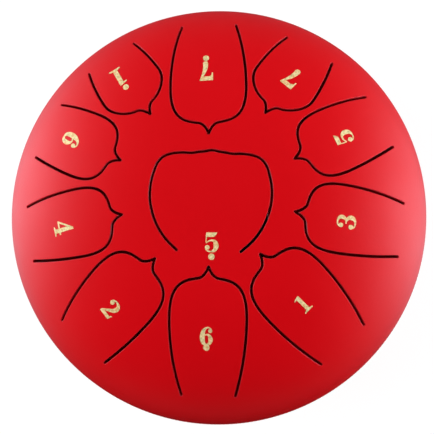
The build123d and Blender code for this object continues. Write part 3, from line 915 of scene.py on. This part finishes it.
def zinc_steel():
    """Zinc-plated steel with the cloudy crystals and fine drawn lines of a fastener."""
    nodes = Nodes("zinc_steel")
    clouds = nodes.spread(nodes.noise(600.0, 3.0), 0.35, 0.65)
    colour = nodes.mix(clouds, (0.62, 0.63, 0.66), (0.78, 0.77, 0.72))
    lines = nodes.bump(nodes.noise(5200.0, 3.0), 0.3, 0.0001)
    return nodes.finish(
        Base_Color=colour, Metallic=1.0, Normal=lines,
        Roughness=nodes.spread(nodes.noise(900.0, 2.0), 0.3, 0.7, 0.24, 0.42))


RED = enamel("red_paint", (0.665, 0.0030, 0.0065), (0.630, 0.0024, 0.0055))
# The lower shell and the weld take a darker copy of the same red: the lower half of the drum is painted
# darker.
RED_BASE = enamel("red_paint_base", (0.610, 0.0028, 0.0060), (0.560, 0.0022, 0.0050))
GOLD = gold_foil()
RUBBER = rubber()
ZINC = zinc_steel()


# ---------------------------------------------------------------- the drum

def stand_for(piece, node):
    """Lets a finer piece take the place of a fixed CAD node."""
    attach(piece, "drum")
    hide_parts(node)


def build_drum():
    """Every piece that takes the place of a CAD node."""
    names = ["low_5", *OUTER_TONGUES]
    cuts = {name: Cut(name) for name in names}
    stand_for(top_shell(cuts, RED), "top_shell")
    for name, cut in cuts.items():
        piece = tongue_piece(name, cut, RED)
        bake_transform(piece)
        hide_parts("tongue_" + name)
    stand_for(bottom_shell(RED_BASE), "bottom_shell")
    stand_for(rim_weld(RED_BASE), "rim_weld")
    for number, place in enumerate(foot_places(), start=1):
        stand_for(foot(number, place, RUBBER), f"foot_{number}")


def dress_kept_nodes():
    """Materials of the CAD nodes that stay: stickers and fasteners."""
    for name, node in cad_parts.items():
        material = GOLD if name.startswith("numeral") else ZINC
        if node.hide_render:
            continue
        node.data.materials.clear()
        node.data.materials.append(material)


build_drum()
dress_kept_nodes()


# ---------------------------------------------------------------- studio

CAMERA_BACK = np.array([0.066, -0.125, 1.0])        # from the drum towards the camera
CAMERA_DISTANCE = 0.762                             # metres
CAMERA_LENS = 102.54                                # millimetres
CAMERA_SENSOR = 36.0                                # millimetres
CAMERA_SHIFT = (-0.48 * MM, -1.07 * MM)             # what it looks at, right and up of the middle

FLOOR_HALF = 3.0           # half the side of the table, in metres
TABLE_GLOW = 0.88          # keeps the table almost white for the camera, beside its lit part; it fades out under the drum with the painted shadow
PAINTED_SHADOW_START = 1.5 * SOUND_HOLE_RADIUS * MM      # inside this circle the painted shadow on the table is darkest
PAINTED_SHADOW_END = 0.95 * RADIUS * MM                  # from this circle on the painted shadow is gone and the table is fully light
AIM_HEIGHT = 0.08          # height above the table at which the soft boxes are aimed, in metres
LOW_BOX = (1.2, 0.6)       # width and height of the soft boxes, in metres
HIGH_BOX = (1.0, 0.6)
SOFT_BOXES = (             # name, place in metres, size, watts
    ("left_low", (-1.0, 0.05, 0.30), LOW_BOX, 5.3),
    ("left_high", (-0.85, 0.05, 0.75), HIGH_BOX, 6.5),
    ("right_low", (1.0, 0.05, 0.30), LOW_BOX, 9.8),
    ("right_high", (0.85, 0.05, 0.75), HIGH_BOX, 2.4),
    ("back_low", (0.0, 1.1, 0.35), LOW_BOX, 3.9),
    ("back_high", (0.0, 0.85, 0.80), HIGH_BOX, 3.0),
    ("front_high", (0.0, -0.85, 0.80), HIGH_BOX, 3.8))


def add_camera():
    """The camera almost straight above the drum."""
    back = CAMERA_BACK / np.linalg.norm(CAMERA_BACK)
    right = np.cross((0.0, 1.0, 0.0), back)
    right /= np.linalg.norm(right)
    up = np.cross(back, right)
    target = np.array([0.0, 0.0, SEAM_Z * MM]) + CAMERA_SHIFT[0] * right + CAMERA_SHIFT[1] * up
    data = bpy.data.cameras.new("camera")
    data.lens = CAMERA_LENS
    data.sensor_width = CAMERA_SENSOR
    camera = bpy.data.objects.new("camera", data)
    place = Matrix(np.column_stack([right, up, back]).tolist()).to_4x4()
    place.translation = target + back * CAMERA_DISTANCE
    camera.matrix_world = place
    bpy.context.scene.collection.objects.link(camera)
    bpy.context.scene.camera = camera


def soft_box(name, place, size, power):
    """A rectangular light that faces the drum and that reflections don't show."""
    data = bpy.data.lights.new(name, "AREA")
    data.shape = "RECTANGLE"
    data.size, data.size_y = size
    data.energy = power
    light = bpy.data.objects.new(name, data)
    back = np.array(place) - np.array([0.0, 0.0, AIM_HEIGHT])
    back /= np.linalg.norm(back)
    right = np.cross((0.0, 0.0, 1.0), back)
    right /= np.linalg.norm(right)
    turn = Matrix(np.column_stack([right, np.cross(back, right), back]).tolist()).to_4x4()
    turn.translation = place
    light.matrix_world = turn
    light.visible_glossy = False
    data.cycles.use_multiple_importance_sampling = False      # bounced rays don't meet the box
    bpy.context.scene.collection.objects.link(light)


def add_floor():
    """A plain white table with a soft painted shadow beneath the drum, for camera rays only.

    Reflections look past it to the room, and a camera below it sees the drum through it.
    """
    nodes = Nodes("floor")
    path = nodes.new("ShaderNodeLightPath").outputs
    distance = nodes.new("ShaderNodeVectorMath", operation="LENGTH")
    nodes.link(nodes.place, distance.inputs[0])
    # Painted shadow: for camera rays the table's colour and glow fade to dark towards the middle, under the
    # drum.
    fade = nodes.spread(distance.outputs["Value"], PAINTED_SHADOW_START, PAINTED_SHADOW_END)
    outside_painted_shadow = nodes.times(fade, fade)
    grain = nodes.spread(nodes.noise(4.0, 3.0), 0.3, 0.7, 0.0, 1.0)
    white = nodes.mix(grain, (0.16, 0.16, 0.16), (0.18, 0.18, 0.18))
    seen = nodes.mix(outside_painted_shadow, (0.01, 0.01, 0.01), white)
    material = nodes.finish(
        Base_Color=nodes.mix(path["Is Camera Ray"], (0.30, 0.30, 0.30), seen), Roughness=0.9,
        Specular_IOR_Level=0.1, Emission_Color=(1.0, 1.0, 1.0),
        Emission_Strength=nodes.times(nodes.times(outside_painted_shadow, path["Is Camera Ray"]), TABLE_GLOW))
    choice = nodes.new("ShaderNodeMixShader")
    below = nodes.new("ShaderNodeNewGeometry").outputs["Backfacing"]
    unseen = nodes.new("ShaderNodeMath", operation="MAXIMUM")
    nodes.link(path["Is Glossy Ray"], unseen.inputs[0])
    nodes.link(below, unseen.inputs[1])
    nodes.link(unseen.outputs[0], choice.inputs[0])
    nodes.link(nodes.shader.outputs[0], choice.inputs[1])
    nodes.link(nodes.new("ShaderNodeBsdfTransparent").outputs[0], choice.inputs[2])
    nodes.link(choice.outputs[0], nodes.tree.nodes["Material Output"].inputs["Surface"])
    mesh = bpy.data.meshes.new("floor")
    half = FLOOR_HALF
    corners = [(-half, -half, 0), (half, -half, 0), (half, half, 0), (-half, half, 0)]
    mesh.from_pydata(corners, [], [(0, 1, 2, 3)])
    mesh.materials.append(material)
    floor = bpy.data.objects.new("floor", mesh)
    bpy.context.scene.collection.objects.link(floor)


class Panel:
    """A soft upright light panel as reflections see it: its direction, width and brightness."""

    def __init__(self, direction, width, strength):
        self.direction = math.radians(direction)
        self.width = math.radians(width)
        self.strength = strength


PANELS = (Panel(167.0, 18.0, 3.7), Panel(3.0, 18.0, 3.9))
PANEL_COLOUR = (0.75, 0.96, 1.10)
PANEL_TOP = 0.95          # where the panels end, as the upward part of a direction: 1 is straight up
PANEL_FULL = 0.1          # where they are brightest
PANEL_BOTTOM = -1.25      # where they would end below
BACK_GLOW = 0.10          # glow of the room towards the back
BACK_RANGE = (-0.5, 0.6)  # where it starts and is full, as the backward part of a direction


def set_world():
    """The room: white for the camera, and two soft panels for reflections."""
    world = bpy.data.worlds.new("studio")
    world.use_nodes = True
    world.cycles.sampling_method = "NONE"      # reflections alone see the panels
    tree = world.node_tree

    def math_node(operation, *values):
        """The result of one operation on numbers or outputs."""
        node = tree.nodes.new("ShaderNodeMath")
        node.operation = operation
        for socket, value in zip(node.inputs, values):
            if isinstance(value, bpy.types.NodeSocket):
                tree.links.new(value, socket)
            else:
                socket.default_value = value
        return node.outputs[0]

    def ramp(value, low, high):
        """A soft step from 0 at low to 1 at high."""
        node = tree.nodes.new("ShaderNodeMapRange")
        node.interpolation_type = "SMOOTHSTEP"
        tree.links.new(value, node.inputs["Value"])
        node.inputs["From Min"].default_value = low
        node.inputs["From Max"].default_value = high
        return node.outputs["Result"]

    parts = tree.nodes.new("ShaderNodeSeparateXYZ")
    tree.links.new(tree.nodes.new("ShaderNodeTexCoord").outputs["Generated"], parts.inputs[0])
    x, y, z = parts.outputs
    around = math_node("ARCTAN2", y, x)
    room = math_node("MULTIPLY", BACK_GLOW, ramp(y, *BACK_RANGE))
    for panel in PANELS:
        off = math_node("SUBTRACT", around, panel.direction)
        off = math_node("WRAP", off, math.pi, -math.pi)
        off = math_node("DIVIDE", off, panel.width)
        fade = math_node("EXPONENT", math_node("MULTIPLY", math_node("MULTIPLY", off, off), -0.5))
        height = math_node("MULTIPLY", ramp(z, PANEL_TOP, PANEL_FULL), ramp(z, PANEL_BOTTOM, PANEL_FULL))
        room = math_node("ADD", room, math_node(
            "MULTIPLY", panel.strength, math_node("MULTIPLY", fade, height)))
    path = tree.nodes.new("ShaderNodeLightPath")
    reflected = tree.nodes.new("ShaderNodeVectorMath")
    reflected.operation = "MULTIPLY_ADD"
    tree.links.new(math_node("MULTIPLY", room, path.outputs["Is Glossy Ray"]), reflected.inputs[0])
    reflected.inputs[1].default_value = PANEL_COLOUR
    tree.links.new(path.outputs["Is Camera Ray"], reflected.inputs[2])
    tree.links.new(reflected.outputs[0], tree.nodes["Background"].inputs["Color"])
    bpy.context.scene.world = world


add_camera()
add_floor()
set_world()
for name, place, size, power in SOFT_BOXES:
    soft_box(name, place, size, power)
bpy.context.scene.view_settings.view_transform = "Standard"
